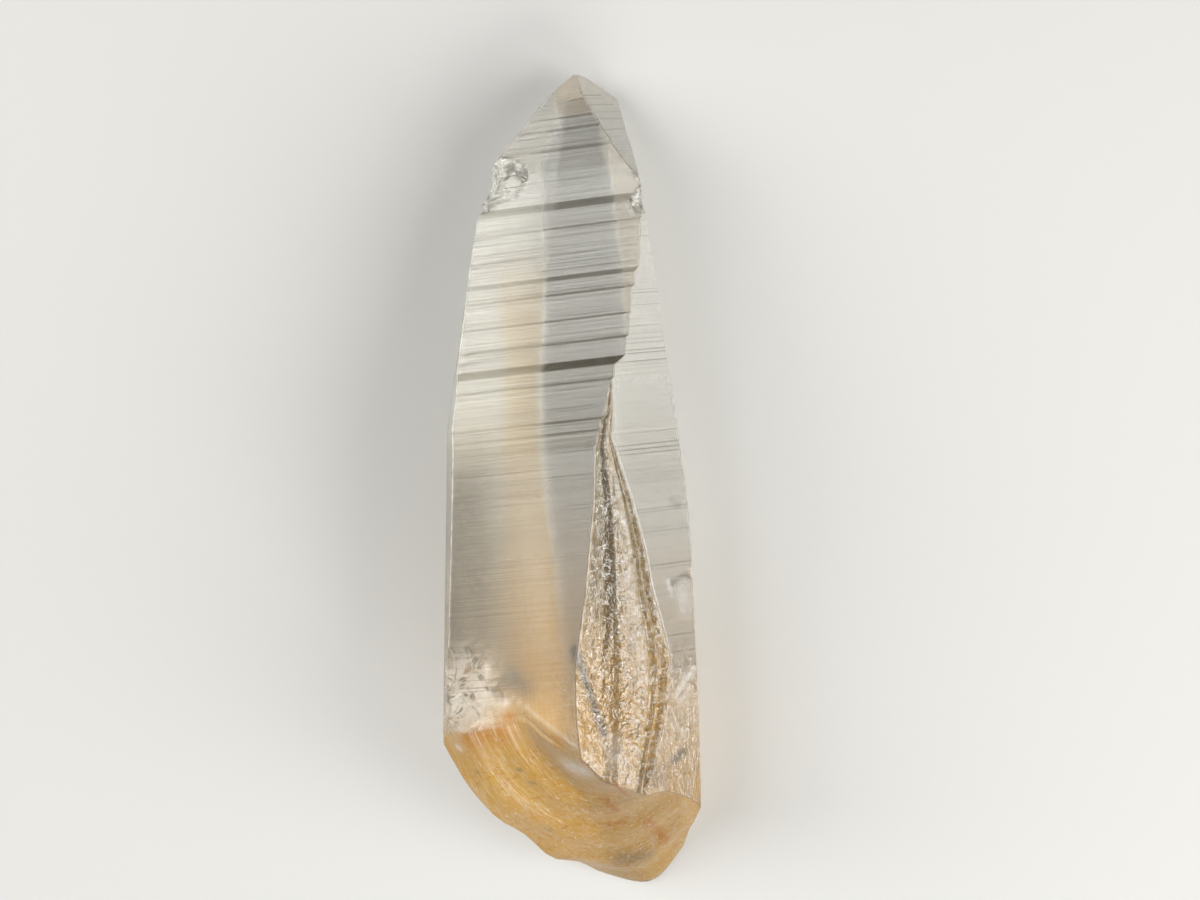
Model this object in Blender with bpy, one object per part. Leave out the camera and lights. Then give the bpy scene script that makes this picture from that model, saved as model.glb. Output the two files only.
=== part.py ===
"""Lemurian quartz crystal, one natural piece, lying on its flat back prism face.

The crystal's long axis runs along +Y with the point at +Y, +Z is up, and the origin is the
centre of the box's underside. A quartz crystal is a hexagonal prism: each of its faces keeps
its compass direction round the long axis for its whole length, and only its distance from
that axis changes. So every face here is a direction and a profile of distances, and a cross
section at any station is the polygon that those faces leave. The broken base and the chips
are then cut out of the grown solid.

Sizes are in millimetres, and MM turns them to metres where a mesh is made.
"""

import math

import bmesh
import bpy
import numpy as np

MM = 0.001
WELD = 1e-6

# Ends of the grown crystal along its axis, before the base is broken off.
BASE_END = -62.0
TIP_END = 55.6

# Stations are this close along the prism and near the point, and never nearer than the least gap.
PRISM_STEP = 5.0
POINT_START = 39.0
POINT_STEP = 0.8
LEAST_GAP = 0.05

# A face this far out never touches the crystal.
OUT_OF_REACH = 40.0

# Profiles of the prism faces and of the end faces that follow them: (station, distance).
UPPER_LEFT = ((-62.0, 26.6), (-33.6, 23.5), (0.0, 19.2), (8.0, 18.2), (17.4, 15.85), (36.8, 10.75),
              (43.0, 8.9), (53.2, -1.3), (55.6, -4.6))
FRONT = ((-62.0, 27.1), (-33.0, 26.4), (4.0, 24.2), (14.9, 21.1), (36.9, 16.55), (42.0, 16.3),
         (50.0, 14.5), (56.0, 12.5))
UPPER_RIGHT = ((-62.0, 20.8), (-33.0, 23.0), (-10.0, 24.2), (-3.0, 24.35), (3.5, 24.1), (32.0, 23.05),
               (39.3, 22.4), (55.6, 10.9))
LOWER_RIGHT = ((-62.0, 8.9), (-33.0, 10.8), (-10.0, 12.0), (-3.0, 12.15), (3.5, 11.9), (32.0, 11.1),
               (56.0, 10.8))
BACK = ((49.0, 0.0), (55.6, -5.2))
LOWER_LEFT = ((-62.0, 0.6), (0.0, 0.0), (8.0, 0.2), (16.4, -0.1), (23.8, -0.5), (43.0, -0.9),
              (53.2, -5.5), (55.6, -8.5))

# Growth ledges across a face: (station, width along the axis, drop).
FRONT_LEDGES = (
    (6.2, 0.3, 0.10),
    (7.7, 0.4, 0.35),
    (12.8, 0.4, 0.35),
    (14.9, 1.1, 1.50),
    (18.3, 0.4, 0.40),
    (21.5, 0.3, 0.30),
    (25.0, 0.4, 0.35),
    (27.1, 0.7, 0.60),
    (34.2, 0.3, 0.30),
    (36.9, 1.1, 0.70),
    (45.0, 0.4, 0.30),
    (47.8, 0.4, 0.30),
    (49.5, 0.3, 0.25),
)
LOWER_RIGHT_LEDGES = ((11.5, 0.4, 0.15), (29.0, 0.4, 0.20))
LOWER_LEFT_LEDGES = ((2.0, 0.4, 0.20), (16.5, 0.6, 0.30), (30.0, 0.5, 0.30))

# The rough bevel between the front and the upper right face narrows to nothing at its top end.
BEVEL = ((-62.0, 25.0), (-31.0, 23.9), (-25.0, 23.9), (-15.0, 25.1), (-3.0, 26.15), (5.0, 26.4),
         (8.0, 26.1), (12.8, 25.75), (13.2, OUT_OF_REACH))

# Ribs that run down the bevel: (share of its width, height), for a bevel of at least RIB_WIDTH.
RIBS = ((0.14, -0.35), (0.30, -0.65), (0.41, -0.30), (0.46, 0.10), (0.62, 0.15), (0.76, -0.05),
        (0.80, -0.35), (0.85, 0.0), (0.90, -0.35), (0.95, 0.0))
RIB_WIDTH = 7.0

# A flake off the upper right face near the base, and the two broken faces of the point.
FLAKE = ((-62.0, 18.9), (-36.0, 22.35), (-30.0, OUT_OF_REACH))
TIP_LEFT = ((50.9, OUT_OF_REACH), (51.0, 8.3), (52.1, 7.3), (55.6, 5.3))
TIP_RIGHT = ((49.2, OUT_OF_REACH), (49.3, 15.9), (52.7, 13.0), (55.6, 10.9))

# Faces in order round the crystal: name, direction of the outward normal in degrees from +Z
# towards +X, profile and ledges.
FACES = (
    ("upper_left", -60.0, UPPER_LEFT, ()),
    ("tip_left", -4.0, TIP_LEFT, ()),
    ("front", 0.0, FRONT, FRONT_LEDGES),
    ("bevel", 44.0, BEVEL, ()),
    ("upper_right", 60.0, UPPER_RIGHT, ()),
    ("flake", 70.0, FLAKE, ()),
    ("tip_right", 72.0, TIP_RIGHT, ()),
    ("lower_right", 120.0, LOWER_RIGHT, LOWER_RIGHT_LEDGES),
    ("back", 180.0, BACK, ()),
    ("lower_left", 240.0, LOWER_LEFT, LOWER_LEFT_LEDGES),
)

# The broken base is one surface stretched through the points where it meets the faces:
# (x, z, station), going round the crystal from the front's left corner.
BREAK_RIM = (
    (-13.8, 23.0, -33.9),
    (-9.6, 26.4, -32.6),
    (-0.9, 26.4, -31.5),
    (4.7, 26.4, -36.0),
    (11.2, 24.4, -40.6),
    (14.0, 21.0, -42.4),
    (17.2, 15.5, -43.4),
    (18.7, 12.2, -45.6),
    (16.3, 8.0, -47.6),
    (13.2, 3.0, -50.4),
    (11.1, 0.0, -52.3),
    (8.4, 0.0, -55.1),
    (5.5, 0.0, -57.0),
    (1.5, 0.0, -56.4),
    (-1.3, 1.3, -55.1),
    (-3.5, 5.0, -53.2),
    (-5.6, 8.8, -51.6),
    (-7.6, 12.2, -48.1),
    (-9.7, 15.8, -45.6),
    (-11.4, 18.6, -42.2),
    (-12.7, 21.0, -38.2),
)
BREAK_SOFTNESS = 2.0
BREAK_CELL = 1.6
BREAK_REACH_X = (-26.3, 27.0)
BREAK_REACH_Z = (-3.3, 31.0)
BREAK_FLOOR = -77.0

# Ripples of the shell-shaped break spread out from this place (x, z).
RIPPLE_ORIGIN = (6.0, 26.0)
RIPPLE_HEIGHT = 0.20
RIPPLE_LENGTH = 5.5

# Shell-shaped chips: name, centre (x, station, z) of the egg-shaped scoop, and its half sizes.
CHIPS = (
    ("shoulder_scoop", (-3.4, 42.7, 17.8), (9.8, 6.0, 8.3)),
    ("shoulder_edge_chip", (-4.6, 38.4, 13.4), (2.2, 1.1, 2.2)),
    ("ridge_notch", (20.3, 37.0, 13.4), (3.5, 2.4, 3.2)),
    ("ridge_nick", (20.0, 40.3, 13.0), (2.4, 1.5, 2.6)),
    ("low_corner_chip", (-9.4, -23.6, 28.3), (4.8, 4.3, 3.6)),
    ("low_front_chip", (-8.9, -28.7, 28.6), (5.0, 3.6, 3.2)),
    ("low_front_nick", (-4.7, -27.8, 27.3), (2.3, 2.1, 1.9)),
    ("side_nick", (21.6, -14.2, 12.0), (1.7, 0.8, 2.4)),
)
CHIP_DETAIL = 3


def direction(degrees):
    """Outward normal (x, z) of a face."""
    return math.sin(math.radians(degrees)), math.cos(math.radians(degrees))


NORMALS = np.array([direction(degrees) for _, degrees, _, _ in FACES])
BEVEL_INDEX = [name for name, _, _, _ in FACES].index("bevel")


def distance(profile, ledges, station):
    """A face's distance from the axis: straight between its profile's points, less the ledges passed."""
    stations, distances = zip(*profile)
    drops = sum(drop * min(1.0, max(0.0, (station - start) / width)) for start, width, drop in ledges)
    return float(np.interp(station, stations, distances)) - drops


def crossing(first, second, distances):
    """The point (x, z) where the lines of two faces cross."""
    return np.linalg.solve(NORMALS[[first, second]], distances[[first, second]])


def section(station):
    """Corners of the cross section, one for each pair of neighbouring faces.

    Each distance is first pulled in until its face touches the polygon, so a face that has
    grown out of the crystal shrinks to one point and the count of corners never changes.
    """
    distances = np.array([distance(profile, ledges, station) for _, _, profile, ledges in FACES])
    count = len(FACES)
    pairs = [(i, j) for i in range(count) for j in range(i) if FACES[i][1] - FACES[j][1] != 180.0]
    points = np.array([crossing(i, j, distances) for i, j in pairs])
    inside = (points @ NORMALS.T <= distances + 1e-9).all(axis=1)
    touching = (points[inside] @ NORMALS.T).max(axis=0)
    return np.array([crossing(k, (k + 1) % count, touching) for k in range(count)])


def ring(station):
    """The section's corners in order, with the ribs of the bevel as extra points."""
    corners = list(section(station))
    left, right = corners[BEVEL_INDEX - 1], corners[BEVEL_INDEX]
    strength = min(1.0, float(np.linalg.norm(right - left)) / RIB_WIDTH)
    ribs = [left + share * (right - left) + rise * strength * NORMALS[BEVEL_INDEX] for share, rise in RIBS]
    return corners[:BEVEL_INDEX] + ribs + corners[BEVEL_INDEX:]


def stations():
    """Every station where a profile bends or a ledge starts or ends, and an even spacing between."""
    found = {BASE_END, TIP_END}
    for _, _, profile, ledges in FACES:
        found.update(station for station, _ in profile)
        found.update(start for start, _, _ in ledges)
        found.update(start + width for start, width, _ in ledges)
    found.update(np.arange(BASE_END, POINT_START, PRISM_STEP).tolist())
    found.update(np.arange(POINT_START, TIP_END, POINT_STEP).tolist())
    kept = [BASE_END]
    for station in sorted(found):
        if kept[-1] + LEAST_GAP < station <= TIP_END:
            kept.append(station)
    return kept


def linked_object(name, shape):
    """Turns a bmesh into an object of the scene."""
    mesh = bpy.data.meshes.new(name)
    shape.to_mesh(mesh)
    shape.free()
    obj = bpy.data.objects.new(name, mesh)
    bpy.context.scene.collection.objects.link(obj)
    return obj


def closed_object(name, points, faces):
    """An object from points in millimetres, with doubles merged and faces turned outwards."""
    shape = bmesh.new()
    made = [shape.verts.new([value * MM for value in point]) for point in points]
    for face in faces:
        shape.faces.new([made[index] for index in face])
    bmesh.ops.remove_doubles(shape, verts=shape.verts, dist=WELD)
    bmesh.ops.dissolve_degenerate(shape, edges=shape.edges, dist=WELD)
    bmesh.ops.recalc_face_normals(shape, faces=shape.faces)
    return linked_object(name, shape)


def grown_crystal():
    """The whole grown crystal: one ring of points per station, joined by quads, with flat ends."""
    levels = stations()
    rings = [ring(station) for station in levels]
    count = len(rings[0])
    points = [(x, station, z) for station, level in zip(levels, rings) for x, z in level]
    faces = []
    for start in range(0, len(points) - count, count):
        for k in range(count):
            after = (k + 1) % count
            faces.append((start + k, start + after, start + after + count, start + k + count))
    faces.append(tuple(range(count)))
    faces.append(tuple(range(len(points) - count, len(points))))
    return closed_object("quartz_crystal", points, faces)


def cone(reach):
    """How far one rim point pulls the stretched surface: nearly a cone, rounded off at its top."""
    return np.sqrt(reach ** 2 + BREAK_SOFTNESS ** 2)


def break_surface():
    """The station of the broken base as a function of (x, z): it passes through every rim point."""
    rim = np.array(BREAK_RIM)
    places, heights = rim[:, :2], rim[:, 2]
    middle = heights.mean()
    gaps = np.linalg.norm(places[:, None] - places[None, :], axis=2)
    pulls = np.linalg.solve(cone(gaps), heights - middle)

    def height(x, z):
        reach = math.hypot(x - RIPPLE_ORIGIN[0], z - RIPPLE_ORIGIN[1])
        ripple = RIPPLE_HEIGHT * math.sin(2.0 * math.pi * reach / RIPPLE_LENGTH)
        return middle + float(cone(np.linalg.norm(places - (x, z), axis=1)) @ pulls) + ripple

    return height


def make_cutter(obj):
    obj.hide_render = True
    obj.display_type = "WIRE"
    return obj


def base_cutter():
    """The space below the broken base, as a block with that surface on top."""
    height = break_surface()
    xs = np.arange(*BREAK_REACH_X, BREAK_CELL)
    zs = np.arange(*BREAK_REACH_Z, BREAK_CELL)
    top = [(x, height(x, z), z) for z in zs for x in xs]
    floor = [(x, BREAK_FLOOR, z) for x, _, z in top]
    columns, size = len(xs), len(top)
    faces = []
    for corner in range(size - columns):
        if corner % columns < columns - 1:
            quad = (corner, corner + 1, corner + 1 + columns, corner + columns)
            faces.append(quad)
            faces.append(tuple(index + size for index in reversed(quad)))
    rim = list(range(columns)) + list(range(2 * columns - 1, size, columns))
    rim += list(range(size - 2, size - columns - 1, -1)) + list(range(size - 2 * columns, 0, -columns))
    for here, after in zip(rim, rim[1:] + rim[:1]):
        faces.append((here, after, after + size, here + size))
    return make_cutter(closed_object("base_cutter", top + floor, faces))


def chip_cutter(name, centre, half_sizes):
    """An egg-shaped solid, which leaves a shell-shaped scar where it is cut out."""
    shape = bmesh.new()
    bmesh.ops.create_icosphere(shape, subdivisions=CHIP_DETAIL, radius=1.0)
    bmesh.ops.scale(shape, vec=[half * MM for half in half_sizes], verts=shape.verts)
    bmesh.ops.translate(shape, vec=[value * MM for value in centre], verts=shape.verts)
    return make_cutter(linked_object(name + "_cutter", shape))


def cut(body, cutter):
    """Takes the cutter out of the body with an exact Boolean."""
    boolean = body.modifiers.new(cutter.name, "BOOLEAN")
    boolean.operation = "DIFFERENCE"
    boolean.solver = "EXACT"
    boolean.object = cutter


def quartz_material():
    """Clear quartz with a faint amber tint, satin on its grown faces."""
    material = bpy.data.materials.new("satin quartz with a faint amber tint")
    material.use_nodes = True
    shader = material.node_tree.nodes["Principled BSDF"]
    shader.inputs["Base Color"].default_value = (0.70, 0.62, 0.50, 1.0)
    shader.inputs["Metallic"].default_value = 0.0
    shader.inputs["Roughness"].default_value = 0.30
    shader.inputs["IOR"].default_value = 1.544
    shader.inputs["Transmission Weight"].default_value = 0.6
    return material


def centre_on_origin(body, parts):
    """Hangs the body and its cutters on one empty, moved so that the finished box is centred."""
    box = np.array(body.evaluated_get(bpy.context.evaluated_depsgraph_get()).bound_box)
    middle = (box.min(axis=0) + box.max(axis=0)) / 2.0
    origin = bpy.data.objects.new("crystal_origin", None)
    bpy.context.scene.collection.objects.link(origin)
    for part in parts:
        part.parent = origin
    origin.location = (-middle[0], -middle[1], -box[:, 2].min())


def main():
    for obj in list(bpy.data.objects):
        bpy.data.objects.remove(obj, do_unlink=True)
    crystal = grown_crystal()
    crystal.data.materials.append(quartz_material())
    cutters = [base_cutter()] + [chip_cutter(*chip) for chip in CHIPS]
    for cutter in cutters:
        cut(crystal, cutter)
    centre_on_origin(crystal, [crystal] + cutters)


main()
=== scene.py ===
# %% [markdown]
# # A lemurian quartz crystal, from its growth faces to its broken base
#
# The crystal is one natural piece of quartz, about 113 mm long, lying on its back prism face.
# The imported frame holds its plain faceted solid. This lesson makes the surface that is seen:
# the same faces and ledges, and on them the fine cross striations, the etched bevel, the worn
# edges, the shell-shaped chips and the rippled break at the base.

# %% Load the frame
import math

import bmesh
import bpy
import numpy as np
from mathutils import Matrix, Vector


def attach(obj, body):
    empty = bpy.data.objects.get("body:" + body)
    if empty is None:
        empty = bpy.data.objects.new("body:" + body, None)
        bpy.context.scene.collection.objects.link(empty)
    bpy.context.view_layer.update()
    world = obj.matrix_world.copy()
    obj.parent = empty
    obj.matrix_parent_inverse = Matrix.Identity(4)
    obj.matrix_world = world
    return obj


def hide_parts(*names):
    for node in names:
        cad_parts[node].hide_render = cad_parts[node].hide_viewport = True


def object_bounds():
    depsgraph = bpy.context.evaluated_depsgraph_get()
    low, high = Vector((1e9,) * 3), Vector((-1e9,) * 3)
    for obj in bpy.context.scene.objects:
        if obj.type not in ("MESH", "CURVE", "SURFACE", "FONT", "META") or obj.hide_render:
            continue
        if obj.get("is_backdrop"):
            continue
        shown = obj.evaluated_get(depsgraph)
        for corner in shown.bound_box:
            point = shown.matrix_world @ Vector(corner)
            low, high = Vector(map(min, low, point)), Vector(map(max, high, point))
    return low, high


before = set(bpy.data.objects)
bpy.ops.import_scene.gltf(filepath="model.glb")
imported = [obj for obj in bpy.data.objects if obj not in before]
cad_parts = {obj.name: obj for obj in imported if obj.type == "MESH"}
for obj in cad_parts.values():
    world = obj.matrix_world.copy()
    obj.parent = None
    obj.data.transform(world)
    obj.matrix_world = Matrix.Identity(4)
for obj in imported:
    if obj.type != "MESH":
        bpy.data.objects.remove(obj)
cad_low, cad_high = (list(corner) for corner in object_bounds())
print("CAD box, mm:", [round((b - a) * 1000, 1) for a, b in zip(cad_low, cad_high)])

# %% [markdown]
# ## Prism faces as profiles
#
# Each face of a quartz crystal keeps its compass direction round the long axis, because the
# angles between the faces are fixed by the lattice. Only its distance from the axis changes
# along the crystal. One could sculpt the shape by hand, but a table of directions and distances
# keeps every edge as straight as the real one, so that way is used. Sizes are in millimetres in
# the crystal's own coordinates: the station runs along the axis towards the point.

# %% Directions and distances of the faces
MM = 0.001
BASE_STATION, POINT_STATION = -62.0, 55.6
FAR = 40.0  # a face this far out never touches the crystal

FACES = (
    ("upper_left", -60.0, ((-62.0, 26.6), (-33.6, 23.5), (0.0, 19.2), (8.0, 18.2), (17.4, 15.85),
                           (36.8, 10.75), (43.0, 8.9), (53.2, -1.3), (55.6, -4.6))),
    ("tip_left", -4.0, ((50.9, FAR), (51.0, 8.3), (52.1, 7.3), (55.6, 5.3))),
    ("front", 0.0, ((-62.0, 27.1), (-33.0, 26.4), (4.0, 24.2), (14.9, 21.1), (36.9, 16.55), (42.0, 16.3),
                    (50.0, 14.5), (56.0, 12.5))),
    ("bevel", 44.0, ((-62.0, 25.0), (-31.0, 23.9), (-25.0, 23.9), (-15.0, 25.1), (-3.0, 26.15), (5.0, 26.4),
                     (8.0, 26.1), (12.8, 25.75), (13.2, FAR))),
    ("upper_right", 60.0, ((-62.0, 20.8), (-33.0, 23.0), (-10.0, 24.2), (-3.0, 24.35), (3.5, 24.1),
                           (32.0, 23.05), (39.3, 22.4), (55.6, 10.9))),
    ("flake", 70.0, ((-62.0, 18.9), (-36.0, 22.35), (-30.0, FAR))),
    ("tip_right", 72.0, ((49.2, FAR), (49.3, 15.9), (52.7, 13.0), (55.6, 10.9))),
    ("lower_right", 120.0, ((-62.0, 8.9), (-33.0, 10.8), (-10.0, 12.0), (-3.0, 12.15), (3.5, 11.9),
                            (32.0, 11.1), (56.0, 10.8))),
    ("back", 180.0, ((49.0, 0.0), (55.6, -5.2))),
    ("lower_left", 240.0, ((-62.0, 0.6), (0.0, 0.0), (8.0, 0.2), (16.4, -0.1), (23.8, -0.5), (43.0, -0.9),
                           (53.2, -5.5), (55.6, -8.5))),
)
NAMES = [name for name, _, _ in FACES]
AZIMUTHS = np.radians([azimuth for _, azimuth, _ in FACES])
NORMALS = np.stack([np.sin(AZIMUTHS), np.cos(AZIMUTHS)], axis=1)
FACE_COUNT = len(FACES)
print(FACE_COUNT, "faces:", ", ".join(NAMES))

# %% [markdown]
# ## Growth ledges and striations
#
# Quartz prisms grow in layers that stop short of the point, and each layer's end is a small step
# across the face. Lemurian seeds are known for them. The large ledges are listed one by one, as
# they stand on the real crystal: station, width along the axis and drop. The fine striations
# between them follow no list, so a seeded random walk places them, and every face shares their
# stations, because a growth layer runs round the edges.

# %% Ledge list and random striations
LEDGES = {
    "front": ((6.2, 0.3, 0.10), (7.7, 0.4, 0.35), (12.8, 0.4, 0.35), (14.9, 1.1, 1.50), (18.3, 0.4, 0.40),
              (21.5, 0.3, 0.30), (25.0, 0.4, 0.35), (27.1, 0.7, 0.60), (34.2, 0.3, 0.30), (36.9, 1.1, 0.70),
              (45.0, 0.4, 0.30), (47.8, 0.4, 0.30), (49.5, 0.3, 0.25)),
    "lower_right": ((11.5, 0.4, 0.15), (29.0, 0.4, 0.20)),
    "lower_left": ((2.0, 0.4, 0.20), (16.5, 0.6, 0.30), (30.0, 0.5, 0.30)),
}
JOIN = -29.5  # rows are straight above this station, and follow the broken base below it
STRIA_SEED = 41
STRIA_MOST = 160
STRIA_GAP = (0.35, 1.15)
STRIA_ENDS = (0.5, 2.5)  # the first starts this far past the join, the last ends this far below the point
STRIA_RISER = 0.13
STRIA_DROP = {"upper_left": 0.03, "front": 0.024, "upper_right": 0.02, "lower_right": 0.04,
              "back": 0.03, "lower_left": 0.03}
draw = np.random.default_rng(STRIA_SEED)

spacing = draw.uniform(*STRIA_GAP, STRIA_MOST)
stria_stations = JOIN + STRIA_ENDS[0] + np.cumsum(spacing)
stria_stations = stria_stations[stria_stations < POINT_STATION - STRIA_ENDS[1]]
stria_strength = draw.uniform(0.1, 1.0, (FACE_COUNT, len(stria_stations))) ** 2.0
print(len(stria_stations), "striations, mean gap", round(float(np.diff(stria_stations).mean()), 2), "mm")


def striations(face, station):
    """A saw-tooth: the face gains height slowly between two striations and loses it on the riser."""
    drop = STRIA_DROP.get(NAMES[face], 0.0) * stria_strength[face]
    places = np.stack([stria_stations, stria_stations + STRIA_RISER], axis=1).ravel()
    after = np.append(drop[1:], drop[-1])
    heights = np.stack([drop / 2.0, -after / 2.0], axis=1).ravel()
    return np.interp(station, places, heights, left=0.0, right=0.0)


def distances(station):
    """Distance of every face at each station: its profile, less the ledges passed, plus striations."""
    result = np.empty(station.shape + (FACE_COUNT,))
    for face, (name, _, profile) in enumerate(FACES):
        places, values = np.array(profile).T
        result[..., face] = np.interp(station, places, values) + striations(face, station)
        for start, width, drop in LEDGES.get(name, ()):
            result[..., face] -= drop * np.clip((station - start) / width, 0.0, 1.0)
    return result


# %% [markdown]
# ## Cross sections
#
# At any station the crystal is the polygon that all faces leave between them. Clipping polygons
# one after the other would need a loop for each row. Instead all crossings of all pairs of
# faces are found at once, those outside the crystal are dropped, and each face is pulled in until
# it touches the rest. A face that has grown out then shrinks to a single point, so every row has
# the same corners and the rows can be joined into one grid.

# %% Corners of every cross section
pairs = np.array([(i, j) for i in range(FACE_COUNT) for j in range(i)
                  if abs(math.sin(AZIMUTHS[i] - AZIMUTHS[j])) > 1e-6])
neighbours = np.array([(k, (k + 1) % FACE_COUNT) for k in range(FACE_COUNT)])
pair_solver = np.linalg.inv(NORMALS[pairs])
corner_solver = np.linalg.inv(NORMALS[neighbours])


def sections(station):
    """Corners (x, z) of the polygon at each station: entry k is where face k meets face k + 1."""
    reach = distances(station)
    points = np.einsum("pij,...pj->...pi", pair_solver, reach[..., pairs])
    along = points @ NORMALS.T
    inside = (along <= reach[..., None, :] + 1e-9).all(axis=-1)
    touching = np.where(inside[..., None], along, -FAR).max(axis=-2)
    return np.einsum("kij,...kj->...ki", corner_solver, touching[..., neighbours])


middle = sections(np.array([0.0]))[0]
print("section at the middle is", round(float(np.ptp(middle[:, 0])), 1), "mm wide")

# %% [markdown]
# ## Columns round the crystal
#
# The grid's columns run along the crystal, a fixed number on each face, more where the face is
# rich in detail. A real edge is never razor sharp: it is rubbed and chipped a tenth of a
# millimetre or so, and that thin line catches the light. So each face starts and ends with a
# column close to its edge, and the edge itself is later pulled in a little.

# %% Where each column lies on its face
COLUMNS = {"upper_left": 24, "tip_left": 4, "front": 78, "bevel": 46, "upper_right": 34, "flake": 5,
           "tip_right": 5, "lower_right": 24, "back": 14, "lower_left": 18}
EDGE_BAND = 0.16

column_face = np.concatenate([np.full(COLUMNS[name], k) for k, name in enumerate(NAMES)])
column_share = np.concatenate([np.append(-1.0, np.linspace(0.0, 1.0, COLUMNS[name] - 1)) for name in NAMES])
COLUMN_COUNT = len(column_face)


def outline(station):
    """Places of all columns at each station: (x, z), share of the face and distance to its edge.

    station has one value for each row, or one for each row and column. On its face, a column
    stands at band + share * (length - 2 * band), and the face's first column is the corner.
    """
    corners = sections(station)
    if station.ndim == 1:
        ends = corners[:, column_face]
        starts = corners[:, column_face - 1]
    else:
        columns = np.arange(COLUMN_COUNT)
        ends = corners[:, columns, column_face]
        starts = corners[:, columns, column_face - 1]
    run = ends - starts
    length = np.linalg.norm(run, axis=-1)
    band = np.minimum(EDGE_BAND, length / 4.0)
    place = np.where(column_share < 0.0, 0.0, band + column_share * (length - 2.0 * band))
    share = place / np.maximum(length, 1e-9)
    to_edge = np.minimum(place, length - place)
    return starts + run * share[..., None], share, to_edge, length


print(COLUMN_COUNT, "columns")

# %% [markdown]
# ## The broken base
#
# The crystal was snapped off its matrix. Quartz has no cleavage, so it breaks like glass, in a
# curved surface with ripples that spread from where the break began. The surface is stretched
# through the points where it meets the faces, like a skin over posts: each rim point pulls it by
# a smooth cone, and the strengths of the pulls are solved so that it passes through all of them.

# %% Stretched surface of the break
BREAK_RIM = np.array((
    (-13.8, 23.0, -33.9), (-9.6, 26.4, -32.6), (-0.9, 26.4, -31.5), (4.7, 26.4, -36.0), (11.2, 24.4, -40.6),
    (14.0, 21.0, -42.4), (17.2, 15.5, -43.4), (18.7, 12.2, -45.6), (16.3, 8.0, -47.6), (13.2, 3.0, -50.4),
    (11.1, 0.0, -52.3), (8.4, 0.0, -55.1), (5.5, 0.0, -57.0), (1.5, 0.0, -56.4), (-1.3, 1.3, -55.1),
    (-3.5, 5.0, -53.2), (-5.6, 8.8, -51.6), (-7.6, 12.2, -48.1), (-9.7, 15.8, -45.6), (-11.4, 18.6, -42.2),
    (-12.7, 21.0, -38.2),
))
BREAK_SOFTNESS = 2.0
RIPPLE_ORIGIN = np.array((6.0, 26.0))
RIPPLE_HEIGHT, RIPPLE_LENGTH = 0.20, 5.5
HALVINGS = 24


def cone(reach):
    return np.sqrt(reach ** 2 + BREAK_SOFTNESS ** 2)


rim_places, rim_stations = BREAK_RIM[:, :2], BREAK_RIM[:, 2]
rim_middle = rim_stations.mean()
rim_gaps = np.linalg.norm(rim_places[:, None] - rim_places[None, :], axis=2)
rim_pulls = np.linalg.solve(cone(rim_gaps), rim_stations - rim_middle)


def break_station(places):
    """Station of the break above (x, z): mean station + sum of pull * cone(distance) + ripples."""
    gaps = np.linalg.norm(places[..., None, :] - rim_places, axis=-1)
    away = np.linalg.norm(places - RIPPLE_ORIGIN, axis=-1)
    ripple = RIPPLE_HEIGHT * np.sin(2.0 * np.pi * away / RIPPLE_LENGTH)
    return rim_middle + cone(gaps) @ rim_pulls + ripple


def column_feet():
    """Station where each column meets the break, found by halving for all columns at once."""
    low = np.full((1, COLUMN_COUNT), BASE_STATION)
    high = np.full((1, COLUMN_COUNT), JOIN)
    for _ in range(HALVINGS):
        half = (low + high) / 2.0
        below = half < break_station(outline(half)[0])
        low = np.where(below, half, low)
        high = np.where(below, high, half)
    return low[0]


feet = column_feet()
print("break runs from station", round(float(feet.min()), 1), "to", round(float(feet.max()), 1))

# %% [markdown]
# ## Rows along the crystal
#
# A row lies on both sides of every riser, so that ledges and striations stay crisp with few
# rows. Plain rows fill what is left. Below the join the rows fan out from straight ones to the
# slanting rim of the break.

# %% Stations of the rows
FILL_STEP = 0.8
SKIRT_ROWS = 46
LEAST_STEP = 0.03

row_marks = [np.arange(JOIN, POINT_STATION, FILL_STEP), stria_stations, stria_stations + STRIA_RISER]
for ledges in LEDGES.values():
    starts, widths, _ = np.array(ledges).T
    row_marks += [starts, starts + widths / 2.0, starts + widths]
for _, _, profile in FACES:
    row_marks.append(np.array(profile)[:, 0])
marks = np.unique(np.concatenate(row_marks + [np.array([POINT_STATION])]))
marks = marks[(marks >= JOIN) & (marks <= POINT_STATION)]
keep = np.append(True, np.diff(marks) > LEAST_STEP)
straight_rows = marks[keep]
straight_rows[-1] = POINT_STATION

climb = np.linspace(0.0, 1.0, SKIRT_ROWS, endpoint=False)[:, None]
skirt_rows = feet * (1.0 - climb) + JOIN * climb
stations = np.concatenate([skirt_rows, np.repeat(straight_rows[:, None], COLUMN_COUNT, axis=1)])
ROW_COUNT = len(stations)
print(ROW_COUNT, "rows:", SKIRT_ROWS, "in the skirt and", len(straight_rows), "straight")

# %% [markdown]
# ## Relief
#
# Growth and etching leave low relief on the faces. It is added as a height along each face's
# normal, from smooth random noise that is stretched along or across the crystal. The noise is
# made of values on a lattice, blended with a smooth step, a few octaves deep.


# %% Smooth noise on arrays
def noise(x, y, seed):
    """Value noise: lattice values at whole numbers, blended by 3t^2 - 2t^3 both ways, from -1 to 1."""
    lattice = np.random.default_rng(seed).uniform(-1.0, 1.0, (256, 256))
    column, row = np.floor(x).astype(int), np.floor(y).astype(int)
    u, v = x - column, y - row
    u, v = u * u * (3.0 - 2.0 * u), v * v * (3.0 - 2.0 * v)
    corners = [lattice[(column + i) % 256, (row + j) % 256] for i in (0, 1) for j in (0, 1)]
    return ((1 - u) * (1 - v) * corners[0] + (1 - u) * v * corners[1]
            + u * (1 - v) * corners[2] + u * v * corners[3])


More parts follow.
